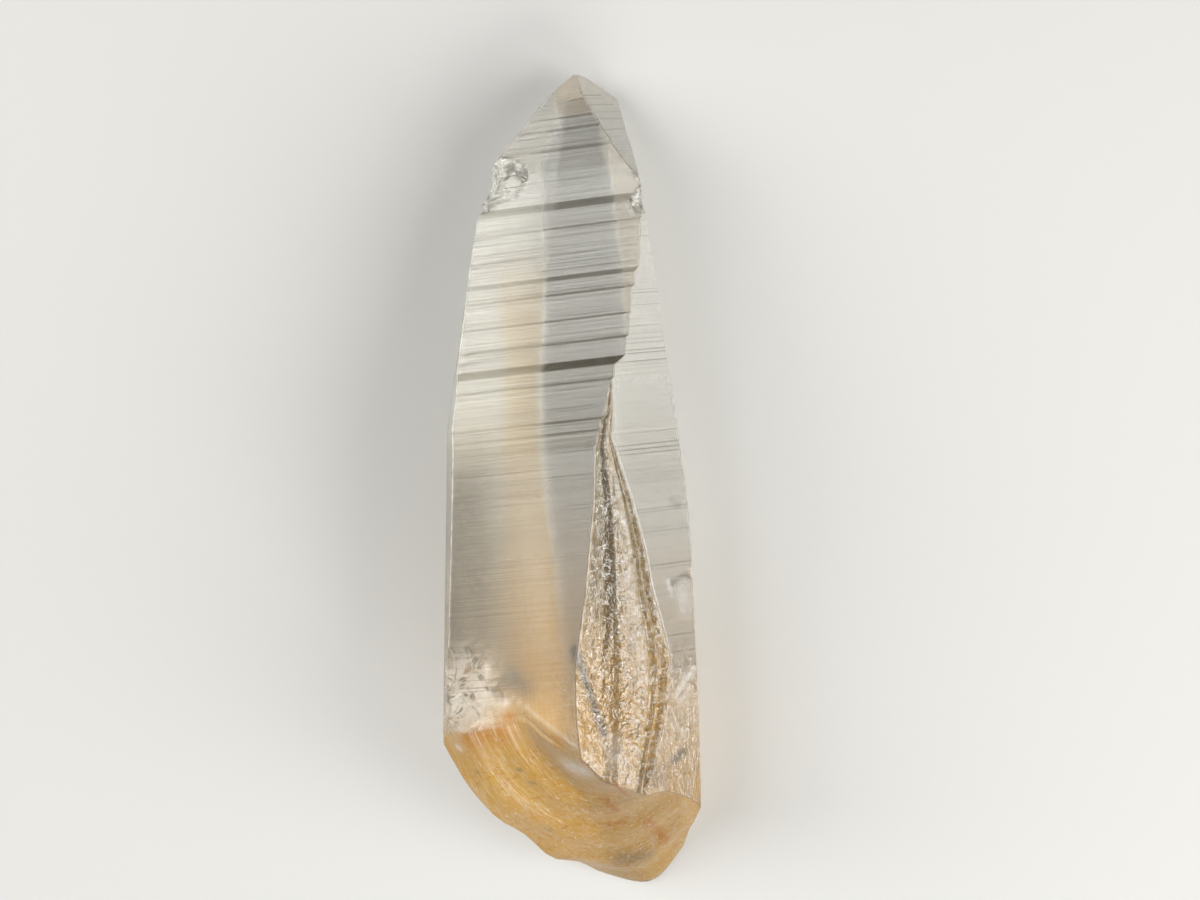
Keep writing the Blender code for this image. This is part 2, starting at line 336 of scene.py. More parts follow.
def smooth(value, start, stop):
    """0 before start, 1 after stop, and 3t^2 - 2t^3 between them."""
    t = np.clip((value - start) / (stop - start), 0.0, 1.0)
    return t * t * (3.0 - 2.0 * t)


print("a step rises to", float(smooth(0.5, 0.0, 1.0)), "half way")

# %% [markdown]
# The bevel was etched by the fluid that the crystal grew in, which left ribs along it and
# scribbles across. Low on the left a knock has splintered the front. Ribs could be cut one by
# one, but as heights over the face's width they stay joined to the face at both edges.

# %% Height of each point above its flat face
RIBS = np.array(((0.0, 0.0), (0.14, -0.35), (0.30, -0.65), (0.41, -0.30), (0.46, 0.10), (0.62, 0.15),
                 (0.76, -0.05), (0.80, -0.35), (0.85, 0.0), (0.90, -0.35), (0.95, 0.0), (1.0, 0.0)))
RIB_WIDTH = 7.0
SCRIBBLES = ((0.10, 0.9, 2.6, 1), (0.07, 0.45, 1.1, 2), (0.05, 0.3, 0.5, 3))  # height, across, along, seed
WAVE_HEIGHT = 0.03
SPLINTER_DEPTHS = (0.55, 0.25)
CRAG_PLACE, CRAG_REACH = (-8.6, -27.2), (3.6, 4.2)


def crag(x, station):
    """Splintered place low on the left of the front: exp(-(dx / reach)^2 - (ds / reach)^2)."""
    aside, along = (x - CRAG_PLACE[0]) / CRAG_REACH[0], (station - CRAG_PLACE[1]) / CRAG_REACH[1]
    return np.exp(-aside ** 2 - along ** 2)


def relief(place, station, share, to_edge, length, face):
    """Low relief in mm: ribs and scribbles on the bevel, splinters in the crag, faint waves elsewhere."""
    x, z = place[..., 0], place[..., 1]
    inward = smooth(to_edge, 0.0, 1.2)
    bevel = face == NAMES.index("bevel")
    strength = np.minimum(1.0, length / RIB_WIDTH)
    ribs = np.interp(share, *RIBS.T) * strength
    across = share * length
    scribble = sum(high * noise(across / wide, station / long, seed) for high, wide, long, seed in SCRIBBLES)
    rough = smooth(to_edge, 0.0, 0.5) * strength
    waves = WAVE_HEIGHT * noise(x / 6.0 + z / 5.0, station / 9.0, 4) * inward
    splinters = -SPLINTER_DEPTHS[0] * np.abs(noise(x / 2.2 + station / 3.0, station / 1.6, 7)) ** 0.7
    splinters -= SPLINTER_DEPTHS[1] * np.abs(noise(x / 0.9 - station / 1.4, station / 0.8 + x / 1.5, 8))
    on_front = face == NAMES.index("front")
    return np.where(bevel, ribs + scribble * rough, waves + on_front * splinters * crag(x, station))


print("ribs of the bevel lie between", RIBS[:, 1].min(), "and", RIBS[:, 1].max(), "mm")

# %% [markdown]
# ## Side surface
#
# Now the grid is filled: columns from the outline, relief along each face's normal, and the
# edges pulled in towards the middle of the section by a small, uneven amount, as rubbed and
# chipped edges are.

# %% Points of the side surface
EDGE_WEAR = (0.03, 0.11)
RIM_REACH, RIM_DEPTH = 2.6, 0.55


def rounding(gap, height):
    """How far the rounded rim under the front moves a point: depth * (1 - gap / reach)^2."""
    return RIM_DEPTH * np.clip(1.0 - gap / RIM_REACH, 0.0, 1.0) ** 2 * smooth(height, 22.5, 25.5)


places, shares, to_edges, lengths = outline(stations)
heights = relief(places, stations, shares, to_edges, lengths, column_face)
centres = places.mean(axis=1, keepdims=True)
inwards = centres - places
inwards /= np.linalg.norm(inwards, axis=-1, keepdims=True)
around = np.arctan2(inwards[..., 0], inwards[..., 1])
wear_noise = 0.5 + 0.5 * noise(stations / 0.9, around * 3.0, 5)
wear = EDGE_WEAR[0] + (EDGE_WEAR[1] - EDGE_WEAR[0]) * wear_noise ** 2
band = smooth(-to_edges, -EDGE_BAND * 1.01, 0.0)
rounded = rounding(stations - feet, places[..., 1])
places = places + NORMALS[column_face] * heights[..., None] + inwards * (wear * band + rounded)[..., None]
side = np.stack([places[..., 0], stations + rounded, np.maximum(places[..., 1], 0.0)], axis=-1)
print("side surface has", side.shape[0] * side.shape[1], "points")

# %% [markdown]
# ## Chips
#
# A knock on an edge takes out a shell-shaped scoop. Each one is an egg-shaped hollow: every
# point inside the egg is pushed along one direction, into the crystal, until it lies on the
# egg's far side. That keeps the grid whole, where a Boolean would cut it up.

# %% Shell-shaped scoops
CHIPS = (
    ((-3.4, 42.7, 17.8), (9.8, 6.0, 8.3)),
    ((-4.6, 38.4, 13.4), (2.2, 1.1, 2.2)),
    ((20.3, 37.0, 13.4), (3.5, 2.4, 3.2)),
    ((20.0, 40.3, 13.0), (2.4, 1.5, 2.6)),
    ((-9.4, -23.6, 28.3), (4.8, 4.3, 3.6)),
    ((-8.9, -28.7, 28.6), (5.0, 3.6, 3.2)),
    ((-4.7, -27.8, 27.3), (2.3, 2.1, 1.9)),
    ((21.6, -14.2, 12.0), (1.7, 0.8, 2.4)),
)
CRYSTAL_MIDDLE = np.array((4.0, 10.0))
STEP_DEPTH = 0.28


def scoop(points, centre, half_sizes):
    """Pushes points inside the egg to its far side: solves |(p + t * push - centre) / half| = 1 for t."""
    centre, half_sizes = np.array(centre), np.array(half_sizes)
    push = np.array((CRYSTAL_MIDDLE[0] - centre[0], 0.0, CRYSTAL_MIDDLE[1] - centre[2]))
    push = push / np.linalg.norm(push)
    p = (points - centre) / half_sizes
    d = push / half_sizes
    a, b, c = d @ d, p @ d, (p * p).sum(axis=-1) - 1.0
    depth = (-b + np.sqrt(np.maximum(b * b - a * c, 0.0))) / a
    inside = c < 0.0
    steps = 1.0 + STEP_DEPTH * noise(points[..., 1] / 0.9 + points[..., 0] / 4.0, points[..., 0] / 2.0, 9)
    steps += STEP_DEPTH * noise(points[..., 0] / 1.1, points[..., 1] / 1.3, 10)
    return points + np.where(inside, depth * np.minimum(steps, 1.0), 0.0)[..., None] * push, inside


chipped = np.zeros(side.shape[:2], bool)
for centre, half_sizes in CHIPS:
    side, hit = scoop(side, centre, half_sizes)
    chipped |= hit
print(int(chipped.sum()), "points lie in chips")

# %% [markdown]
# ## Caps
#
# The break is closed by rings that shrink from the rim to the middle, each point lying on the
# stretched surface. The blunt point is closed the same way, with a nearly flat patch.

# %% Break and point caps
CAP_RINGS = 38
FINE_RIPPLE = 0.035
RING_SHARES = np.linspace(0.0, 1.0, CAP_RINGS + 1) ** 1.35


def cap_points(rim, centre):
    """Rings between a rim and its centre: rim * (1 - t) + centre * t, with the rim left out."""
    t = RING_SHARES[1:-1, None, None]
    return rim[None] * (1.0 - t) + centre * t


rim = side[0]
cap_centre = np.array((1.5, 12.0))
cap_places = cap_points(rim[:, [0, 2]], cap_centre)
cap_stations = break_station(cap_places)
away = np.linalg.norm(cap_places - RIPPLE_ORIGIN, axis=-1)
cap_fade = smooth(RING_SHARES[1:-1], 0.0, 0.1)[:, None]
from_rim = np.linalg.norm(cap_places - rim[:, [0, 2]], axis=-1)
cap_stations = cap_stations + rounding(from_rim, rim[:, 2])
turn_about = np.arctan2(*(cap_places - RIPPLE_ORIGIN).T).T
cap_stations = cap_stations + cap_fade * FINE_RIPPLE * noise(away / 0.8, turn_about * 4.0, 6)
cap_stations = np.maximum(cap_stations, rim_stations.min())
cap = np.stack([cap_places[..., 0], cap_stations, cap_places[..., 1]], axis=-1)
cap_middle = np.array((cap_centre[0], break_station(cap_centre), cap_centre[1]))
point_middle = side[-1].mean(axis=0)
print("break cap has", cap.shape[0] * cap.shape[1], "points")

# %% [markdown]
# ## Mesh
#
# The grid, the caps and their middles become one closed mesh. Columns that share one place,
# where a face has grown out, are merged, so that no face without area is left.

# %% Build the mesh


def wall_quads(first_row, rows, columns):
    """Quads between neighbouring rows, closed round the crystal."""
    row = first_row + np.arange(rows - 1)[:, None] * columns
    here = np.arange(columns)[None, :]
    after = (here + 1) % columns
    corners = [row + here, row + columns + here, row + columns + after, row + after]
    return np.stack(corners, axis=-1).reshape(-1, 4)


all_points = np.concatenate([side.reshape(-1, 3), cap.reshape(-1, 3), [cap_middle], [point_middle]])
cap_start = ROW_COUNT * COLUMN_COUNT
cap_rows = CAP_RINGS - 1
middle_index = cap_start + cap_rows * COLUMN_COUNT
quads = [wall_quads(0, ROW_COUNT, COLUMN_COUNT), wall_quads(cap_start, cap_rows, COLUMN_COUNT)[:, ::-1]]
here = np.arange(COLUMN_COUNT)
after = (here + 1) % COLUMN_COUNT
quads.append(np.stack([here, after, cap_start + after, cap_start + here], axis=-1))
last_ring = cap_start + (cap_rows - 1) * COLUMN_COUNT
fan = np.stack([last_ring + here, last_ring + after, np.full(COLUMN_COUNT, middle_index)], axis=-1)
top = (ROW_COUNT - 1) * COLUMN_COUNT
point_fan = np.stack([top + after, top + here, np.full(COLUMN_COUNT, middle_index + 1)], axis=-1)

slide = np.array((cad_high[0] / MM - all_points[:, 0].max(), cad_high[1] / MM - POINT_STATION, 0.0))
all_points[:, 1] = np.maximum(all_points[:, 1], cad_low[1] / MM - slide[1])
mesh = bpy.data.meshes.new("crystal_surface")
faces = np.concatenate(quads).tolist() + fan.tolist() + point_fan.tolist()
mesh.from_pydata(((all_points + slide) * MM).tolist(), [], faces)
mesh.update()
crystal = bpy.data.objects.new("crystal_surface", mesh)
bpy.context.scene.collection.objects.link(crystal)
print("slide to the frame, mm:", slide.round(3).tolist(), "faces:", len(mesh.polygons))

# %% [markdown]
# ## Painting by place
#
# The colour of a quartz crystal isn't on it but in it: iron stains its broken base and its
# cracks amber, fluid-filled veils make it milky, and the rest is clear. Some of the paint is
# painted light and shade as well: a painted shade on some parts and a painted highlight on
# others, each said where it is made. Where each of these is follows the crystal's own form, so
# it is worked out for each point from its face, its station and its distance from a few places,
# and kept as attributes that the material reads. An image could hold more detail, but it would
# need a UV map and a painter.

# %% Which face each point belongs to
CAP = -1
NO_EDGE = 9.0
point_count = len(all_points)
face_of = np.full(point_count, CAP)
face_of[:cap_start] = np.tile(column_face, ROW_COUNT)
is_chip = np.zeros(point_count)
is_chip[:cap_start] = chipped.ravel()
edge_gap = np.full(point_count, NO_EDGE)
edge_gap[:cap_start] = to_edges.ravel()
rim_gap = np.full(point_count, NO_EDGE)
rim_gap[:middle_index] = np.concatenate([(stations - feet).ravel(), from_rim.ravel()])
share_of = np.full(point_count, 0.5)
share_of[:cap_start] = shares.ravel()
x, s, z = all_points.T


def on(*names):
    """1 on the points of the named faces and 0 elsewhere."""
    return np.isin(face_of, [NAMES.index(name) for name in names]).astype(float)


front, bevel, back = on("front"), on("bevel"), on("back")
upper_right = on("upper_right", "flake", "tip_right")
broken = np.maximum((face_of == CAP) * (s < 0.0), is_chip * (s < 0.0))
cloudy = front * smooth(x, -4.0, 3.0) * smooth(-s, 4.0, 15.0)
grown = on("upper_left", "front", "upper_right", "lower_right", "lower_left", "back") * (1.0 - is_chip)
grown *= 1.0 - 0.8 * cloudy
depth = smooth(-s, 0.0, 36.0)
print("points on the front:", int(front.sum()), "on broken faces:", int(broken.sum()))

# %% [markdown]
# ## Marks
#
# A few stains, cracks and pits are large enough to know the crystal by. Three strokes are
# painted light and shade instead: a faint band of painted light below the rim of the break, a
# painted shadow by the break and painted shade in a small chip. Each is a stroke: a short path
# in the crystal with a radius, in millimetres, and it fades out round that path.

# %% Strokes of milk, rust and shade
MILK_STROKES = (
    (((-9.7, -28.5, 25.5), (-7.5, -26.9, 26.0)), 1.7, 0.7),
    (((-10.4, -31.5, 26.3), (-9.6, -30.0, 26.0)), 1.3, 0.6),
    (((-11.8, -23.5, 24.0), (-10.6, -25.2, 25.1), (-8.5, -26.4, 25.7), (-6.3, -25.9, 26.0),
      (-5.1, -24.0, 25.9)), 0.45, 1.0),
    (((-5.8, -28.1, 25.7), (-2.9, -28.7, 26.2)), 0.7, 1.0),
    (((-7.8, -29.1, 25.5), (-6.3, -31.0, 26.3), (-4.8, -31.9, 26.3)), 0.4, 0.9),
    (((-11.4, -34.4, 23.7), (-11.2, -34.4, 23.7)), 0.5, 1.0),
    (((4.4, -38.0, 24.0), (6.4, -38.4, 23.8)), 1.7, 0.8),
    # A faint band of painted light just below the rim of the break.
    (((0.0, -33.2, 25.2), (5.5, -37.6, 24.2), (11.0, -42.2, 21.2)), 1.9, 0.12),
    (((10.3, -35.6, 23.0), (10.7, -37.6, 22.7)), 1.5, 0.5),
    (((17.5, -30.5, 15.8), (18.3, -28.9, 14.6), (19.6, -27.0, 12.6)), 0.4, 0.9),
    (((18.0, -31.2, 15.0), (18.9, -29.6, 13.6)), 0.3, 0.7),
    (((9.1, 54.4, 6.6), (8.0, 53.8, 6.8)), 1.3, 1.0),
    (((11.4, 54.9, 5.6), (12.4, 54.3, 5.0)), 0.8, 1.0),
    (((-1.7, -28.0, 26.1), (7.2, -35.6, 26.4), (12.2, -43.8, 17.9)), 0.3, 0.4),
    (((16.9, 36.3, 12.4), (17.7, 34.8, 12.7)), 0.35, 0.9),
    (((19.5, -16.6, 13.9), (19.6, -18.6, 13.7)), 1.4, 0.45),
    (((18.4, -14.9, 16.1), (18.9, -16.8, 15.6)), 0.35, 0.9),
)
SHADE_STROKES = (
    (((-10.0, -20.8, 25.3), (-10.1, -22.2, 25.3)), 0.5, 0.8),
    (((-11.8, -32.8, 25.3), (-11.7, -30.4, 25.4)), 0.5, 0.6),
    (((-8.7, -24.2, 24.8), (-8.2, -24.0, 24.9)), 0.8, 0.8),
    (((-1.6, -25.4, 26.0), (0.3, -27.2, 26.1)), 1.3, 0.35),
    (((7.7, -22.4, 25.8), (8.6, -28.6, 24.2), (9.5, -33.9, 23.3)), 0.7, 0.85),
    (((18.7, -15.2, 15.5), (19.5, -14.6, 14.2), (20.6, -14.2, 12.3)), 0.32, 1.0),
    (((16.6, -38.9, 16.3), (17.6, -38.0, 14.7)), 0.65, 0.8),
    (((-3.9, -38.2, 21.3), (-3.7, -38.3, 21.3)), 0.3, 0.9),
    (((-3.2, -40.4, 19.6), (-2.4, -40.5, 19.8)), 0.3, 0.9),
    (((-9.8, -38.1, 21.8), (-9.7, -38.2, 21.8)), 0.28, 0.9),
    (((-3.6, -47.5, 13.6), (-3.3, -47.3, 13.9)), 0.35, 0.7),
    (((4.4, -53.0, 6.2), (7.2, -53.2, 5.8)), 1.6, 0.5),
    # Painted shadow: a grey patch low on the right, by the break.
    (((13.4, -40.0, 20.3), (15.4, -40.6, 18.6)), 1.6, 0.4),
    # Painted shade in the small chip on the upper left, near the point.
    (((-3.9, 38.5, 11.3), (-3.2, 38.4, 12.2)), 0.8, 0.8),
    (((19.6, -4.1, 14.6), (20.2, -4.6, 13.6)), 0.6, 0.5),
)
RUST_STROKES = (
    (((-8.7, -33.4, 26.0), (-4.4, -32.9, 26.0)), 1.8, 0.9),
    (((-2.9, -30.7, 26.3), (-2.3, -30.6, 26.3)), 0.7, 1.0),
    (((3.8, -34.1, 26.4), (3.9, -34.7, 26.4)), 0.5, 0.7),
    (((7.1, -43.3, 18.2), (7.4, -45.3, 15.8)), 0.6, 1.0),
    (((5.4, -47.3, 13.0), (7.2, -47.2, 12.9)), 0.5, 1.0),
    (((10.4, -47.3, 12.1), (10.5, -51.0, 6.0)), 0.9, 1.0),
    (((13.5, -49.7, 4.5), (14.9, -49.0, 5.0)), 1.2, 1.0),
    (((10.7, -40.9, 23.4), (10.4, -42.7, 19.7)), 0.5, 0.9),
    (((-8.7, -24.3, 24.8), (-8.2, -24.0, 24.9)), 0.6, 0.5),
)


def stroke(path, radius):
    """Nearness to a path of straight runs: the largest of exp(-(distance / radius)^2) over its runs."""
    nearness = np.zeros(point_count)
    for start, end in zip(np.array(path)[:-1], np.array(path)[1:]):
        run = end - start
        along = np.clip((all_points - start) @ run / (run @ run), 0.0, 1.0)
        gap = np.linalg.norm(all_points - start - along[:, None] * run, axis=1)
        nearness = np.maximum(nearness, np.exp(-(gap / radius) ** 2))
    return nearness


def strokes(marks):
    """All strokes of one kind together, each with its strength, never above 1."""
    return np.max([strength * stroke(path, radius) for path, radius, strength in marks], axis=0)


milk_marks, shade_marks, rust_marks = strokes(MILK_STROKES), strokes(SHADE_STROKES), strokes(RUST_STROKES)
print("marks:", len(MILK_STROKES) + len(SHADE_STROKES) + len(RUST_STROKES))

# %% [markdown]
# ## Amber, milk, shade and roughness
#
# The zones of the front follow the faces behind it, which are seen through it: their lines are
# given as (station, x). The grey zone is painted shade, for the dark that is seen through the
# crystal, and it is deeper towards the point. The front, its left part and the upper right face
# get a painted shade too. The iron stain grows towards the base, and runs up the crystal in one
# warm streak. Ledges show dark, because their risers look away from the light.

# %% Zones of the front
GREY_LEFT = ((-12.0, 6.2), (-1.6, 5.7), (7.3, 5.3), (16.6, 4.7), (23.8, 4.8), (32.9, 5.8), (41.0, 6.8),
             (46.5, 7.7), (52.1, 8.1))
GREY_RIGHT = ((-5.0, 17.5), (19.1, 16.9), (24.5, 16.3), (33.3, 15.6), (40.0, 14.7), (45.8, 13.2))
WARM_LEFT = ((-12.0, -2.0), (-1.6, -0.8), (11.8, -0.4), (18.0, -1.2), (25.6, -1.9), (31.2, -2.6))


def line_x(line):
    """The zone line's x at each point's station."""
    stations_of, xs_of = np.array(line).T
    return np.interp(s, stations_of, xs_of)


# Painted shade: the grey zone of the front is darkened in the colour.
grey_painted_shade = front * smooth(x, line_x(GREY_LEFT) - 0.5, line_x(GREY_LEFT) + 0.5) * smooth(s, -6.0, 6.0)
grey_painted_shade *= 1.0 - smooth(x, line_x(GREY_RIGHT) - 0.4, line_x(GREY_RIGHT) + 0.4)
beige_strip = front * smooth(x, line_x(GREY_RIGHT) - 0.4, line_x(GREY_RIGHT) + 0.4) * smooth(s, 10.0, 20.0)
warm_streak = front * smooth(x, line_x(WARM_LEFT) - 1.0, line_x(WARM_LEFT) + 1.6)
warm_streak *= (1.0 - smooth(x, line_x(GREY_LEFT) - 1.2, line_x(GREY_LEFT) + 0.2)) * smooth(-s, -34.0, -22.0)
left_part = (front + on("upper_left")) * (1.0 - smooth(x, -6.0, 5.0))
# Painted shade: the front, its left part and the upper right face are darkened in the colour, from station 13
# down to station -32.
painted_dusk = 0.34 * front + 0.66 * left_part + 0.28 * upper_right
painted_dusk *= smooth(-s, -13.0, 1.0) * smooth(s, -32.0, -25.0)
splintered = np.minimum(1.5 * (front + on("upper_left")) * crag(x, s), 1.0)
stained = np.exp(-(rim_gap / 4.0) ** 2) * (front + bevel + upper_right)
# Partly real haze and partly painted light: both sides of the upper rim of the break are lightened where they
# would look dark.
rim_haze_and_painted_light = np.exp(-(rim_gap / 1.6) ** 2) * smooth(z, 14.0, 22.0) * (s < 0.0)
mottle = 0.5 + 0.5 * noise(x / 2.6 + z / 4.0, s / 3.8, 11)
fine_mottle = 0.5 + 0.5 * noise(x / 0.8 + z / 1.1, s / 0.9, 12)

print("points in the grey zone:", int((grey_painted_shade > 0.5).sum()), "in the crag:", int((splintered > 0.5).sum()))

# %% [markdown]
# A riser is a small step that looks towards the point of the crystal, and it shows as a dark
# line. It is one narrow row of faces. Values on points would blur into the rows beside it, so
# its shade is kept on the faces.

# %% Shade on the risers of ledges and striations
LEDGE_SHADE = (0.30, 0.45)
LINE_SHADE = 0.62

row_middles = (stations[:-1, 0] + stations[1:, 0]) / 2.0
row_middles[:SKIRT_ROWS] = BASE_STATION
ledge_row = np.zeros(ROW_COUNT - 1)
for start, width, drop in LEDGES["front"]:
    on_riser = (row_middles > start) & (row_middles < start + width)
    ledge_row = np.maximum(ledge_row, on_riser * (LEDGE_SHADE[0] + LEDGE_SHADE[1] * drop))
nearest = np.clip(np.searchsorted(stria_stations, row_middles) - 1, 0, len(stria_stations) - 1)
on_line = (row_middles > stria_stations[nearest]) & (row_middles < stria_stations[nearest] + STRIA_RISER)
line_row = LINE_SHADE * on_line[:, None] * stria_strength.T[nearest][:, column_face]
fade = (0.45 + 0.55 * grey_painted_shade[:cap_start]).reshape(ROW_COUNT, COLUMN_COUNT)[1:]
patchy = smooth(noise(side[1:, :, 0] / 5.0, side[1:, :, 1] / 1.7, 13), -0.6, 0.3)
patchy = patchy * (1.0 - 0.85 * cloudy[:cap_start].reshape(ROW_COUNT, COLUMN_COUNT)[1:])
is_grown_column = np.isin(column_face, [NAMES.index(name) for name in STRIA_DROP])
riser_shade = np.maximum(ledge_row[:, None] * (column_face == NAMES.index("front")) * fade,
                         line_row * patchy * is_grown_column)
print("riser faces:", int((riser_shade > 0.02).sum()))

# %% [markdown]
# Between its ribs the bevel has painted shade, where light leaves the crystal, and on the crests cream that
# is partly a painted highlight.
# Low down the etching runs over the bevel's edges on to both neighbours. Shade and cream are
# profiles over the bevel's width, as its ribs are, so that colour and form keep together.

# %% Ribs of the bevel
BEVEL_SHADE = ((0.0, 0.35), (0.06, 0.82), (0.37, 0.82), (0.42, 0.90), (0.46, 0.50), (0.60, 0.46),
               (0.66, 0.36), (0.75, 0.36), (0.79, 0.66), (0.83, 0.42), (0.87, 0.38), (0.90, 0.60),
               (0.95, 0.40), (1.0, 0.15))
BEVEL_CREAM_AND_HIGHLIGHT = ((0.44, 0.0), (0.50, 0.15), (0.58, 0.15), (0.66, 0.65), (0.75, 0.55), (0.78, 0.0), (0.82, 0.0),
               (0.85, 0.35), (0.88, 0.0), (0.93, 0.0), (1.0, 0.3))

# Painted shade between the ribs, less of it below station -12.
bevel_shade = np.interp(share_of, *np.array(BEVEL_SHADE).T) * (1.0 - 0.75 * smooth(-s, 12.0, 32.0))
spill = smooth(-s, 19.0, 29.0) * front * smooth(x, 3.0, 9.0) * mottle
spill += smooth(-s, 21.0, 27.0) * upper_right * smooth(z, 9.0, 13.0) * (0.6 + 0.4 * mottle)
etched = bevel + spill
dashed = bevel * smooth(share_of, 0.38, 0.46) + spill
# Cream on the crests, partly a painted highlight.
bevel_cream_and_highlight = bevel * np.interp(share_of, *np.array(BEVEL_CREAM_AND_HIGHLIGHT).T) * (0.4 + 0.6 * smooth(s, -34.0, -22.0))
print("points on the bevel:", int(bevel.sum()), "etched beyond it:", int((spill > 0.1).sum()))

# %% [markdown]
# Each paint is a sum of the places that hold it, from 0 to 1. Amber is iron, and it also tints
# the painted shade brown. Milk is fluid and rubbed edges, and also painted light and painted
# highlights. Shade is painted shade, for what lies dark behind a face and for parts darkened in
# the colour, and it also holds real specks, cracks and pits. Rust is iron in cracks. The weights
# were set by comparing renders with the photograph. Mixing the paints here and not in nodes
# keeps the material short.

# %% The paints
amber_and_painted_shade = 0.75 * depth * (0.75 + 0.5 * mottle) + 0.42 * warm_streak * (1.0 - 0.7 * depth) + 0.16 * beige_strip
# Amber tints the painted shade brown.
amber_and_painted_shade += 0.30 * painted_dusk + 0.06 * front * depth
amber_and_painted_shade += bevel * (0.84 - 0.40 * depth) + broken * 0.40 + 0.36 * stained * mottle + 0.25 * rim_haze_and_painted_light
amber_and_painted_shade += front * 0.12 * smooth(-s, -2.0, 8.0) * smooth(x, 3.0, 8.0)
amber_and_painted_shade += upper_right * (0.45 * smooth(-s, 30.0, 42.0) - 0.30 * depth + 0.15 * spill)
amber_and_painted_shade = np.clip(amber_and_painted_shade * (1.0 - 0.85 * splintered), 0.0, 1.0)
# Worn edges are paler, and a painted highlight runs along them, wider above station 20.
wear_and_highlight_width = 0.24 + 0.16 * (s > 20.0)
ridge_wear_and_highlight = (1.0 - smooth(edge_gap, 0.0, wear_and_highlight_width)) * (0.35 + 0.5 * fine_mottle)
low_right = smooth(-s, 19.0, 27.0) * (z > 14.0) * (bevel + upper_right)
ridge_wear_and_highlight *= 1.0 - np.maximum(0.8 * stained, 0.9 * low_right)
milk_and_painted_light = np.maximum(milk_marks, ridge_wear_and_highlight) + 0.15 * front * depth * mottle + 0.16 * rim_haze_and_painted_light * fine_mottle
milk_and_painted_light += 0.62 * splintered
# Painted light: the upper right face is lightened, more towards the point.
milk_and_painted_light += upper_right * (0.40 * (1.0 - depth) + 0.35 * smooth(s, 5.0, 28.0))
milk_and_painted_light = np.clip(milk_and_painted_light + 0.45 * bevel_cream_and_highlight, 0.0, 1.0)
# Painted shade: the grey zone, deeper towards the point, the back face, which shows through the front, and
# the bevel between its ribs are darkened here, besides the real specks, cracks and pits.
shade = shade_marks + grey_painted_shade * (0.06 + 0.30 * smooth(s, 36.0, 44.0)) + 0.20 * back + bevel * bevel_shade
shade = np.clip(shade + painted_dusk + 0.22 * spill * upper_right, 0.0, 1.0)
rust = np.clip(rust_marks, 0.0, 1.0)
shards = np.maximum(splintered, is_chip * (s > 30.0))
cracked = np.maximum(broken, 0.7 * stained)
rough = 0.20 + 0.20 * smooth(-s, 0.0, 24.0) * front + 0.10 * cracked + 0.15 * milk_and_painted_light + 0.06 * bevel
PAINTS = {"amber_and_painted_shade": amber_and_painted_shade, "milk_and_painted_light": milk_and_painted_light, "shade": shade, "rust": rust, "rough": rough, "grown": grown,
          "etched": etched, "dashed": dashed, "cracked": cracked, "shards": shards}
for name, values in PAINTS.items():
    mesh.attributes.new(name, "FLOAT", "POINT").data.foreach_set("value", values.astype(np.float32))
    print(name, "mean", round(float(values.mean()), 3), "largest", round(float(values.max()), 2))
face_values = np.zeros(len(mesh.polygons), np.float32)
face_values[:riser_shade.size] = riser_shade.ravel()
mesh.attributes.new("riser", "FLOAT", "FACE").data.foreach_set("value", face_values)

# %% [markdown]
# The grid has points that share one place. They are merged, so that the surface is one closed
# skin and light that enters it also leaves it. Edges between grown faces stay sharp, and
# anything shallower is shaded smooth.

# %% Merge, turn outwards and shade
MERGE = 2e-6
SHARP_ANGLE = math.radians(14.0)

shape = bmesh.new()
shape.from_mesh(mesh)
bmesh.ops.remove_doubles(shape, verts=shape.verts, dist=MERGE)
bmesh.ops.dissolve_degenerate(shape, edges=shape.edges, dist=MERGE)
bmesh.ops.recalc_face_normals(shape, faces=shape.faces)
open_edges = sum(1 for edge in shape.edges if len(edge.link_faces) != 2)
triangles = sum(len(face.verts) - 2 for face in shape.faces)
print("open edges:", open_edges, "volume, cm3:", round(shape.calc_volume() * 1e6, 2), "triangles:", triangles)
shape.to_mesh(mesh)
shape.free()
mesh.shade_smooth()
mesh.set_sharp_from_angle(angle=SHARP_ANGLE)

# %% [markdown]
# ## Quartz
#
# Quartz is clear and bends light by 1.544. Its grown faces aren't polished: growth and etching
# leave a satin finish, so what lies behind them is soft. The body is a plain clear Principled
# shader with a faint amber absorption that deepens with the light's path. On top of that, the
# paints tint it, and bump gives the relief that is too fine for the mesh.


# %% Nodes and colours
def linear(code):
    """sRGB hex code to linear RGBA."""
    channels = [int(code[i:i + 2], 16) / 255.0 for i in (1, 3, 5)]
    return [c / 12.92 if c <= 0.04045 else ((c + 0.055) / 1.055) ** 2.4 for c in channels] + [1.0]


def add(tree, kind, inputs=None, **settings):
    """Adds a node with its settings, and gives each input a value or a link from another node's socket."""
    node = tree.nodes.new("ShaderNode" + kind)
    for name, value in settings.items():
        setattr(node, name, value)
    for key, value in (inputs or {}).items():
        if isinstance(value, bpy.types.NodeSocket):
            tree.links.new(value, node.inputs[key])
        else:
            node.inputs[key].default_value = value
    return node.outputs


print("linear grey of #808080:", round(linear("#808080")[0], 3))

# %% [markdown]
# The patterns need a place on the crystal. Object coordinates are used, turned to millimetres
# and slid back to the crystal's own, so no pattern moves when the piece or the camera does.

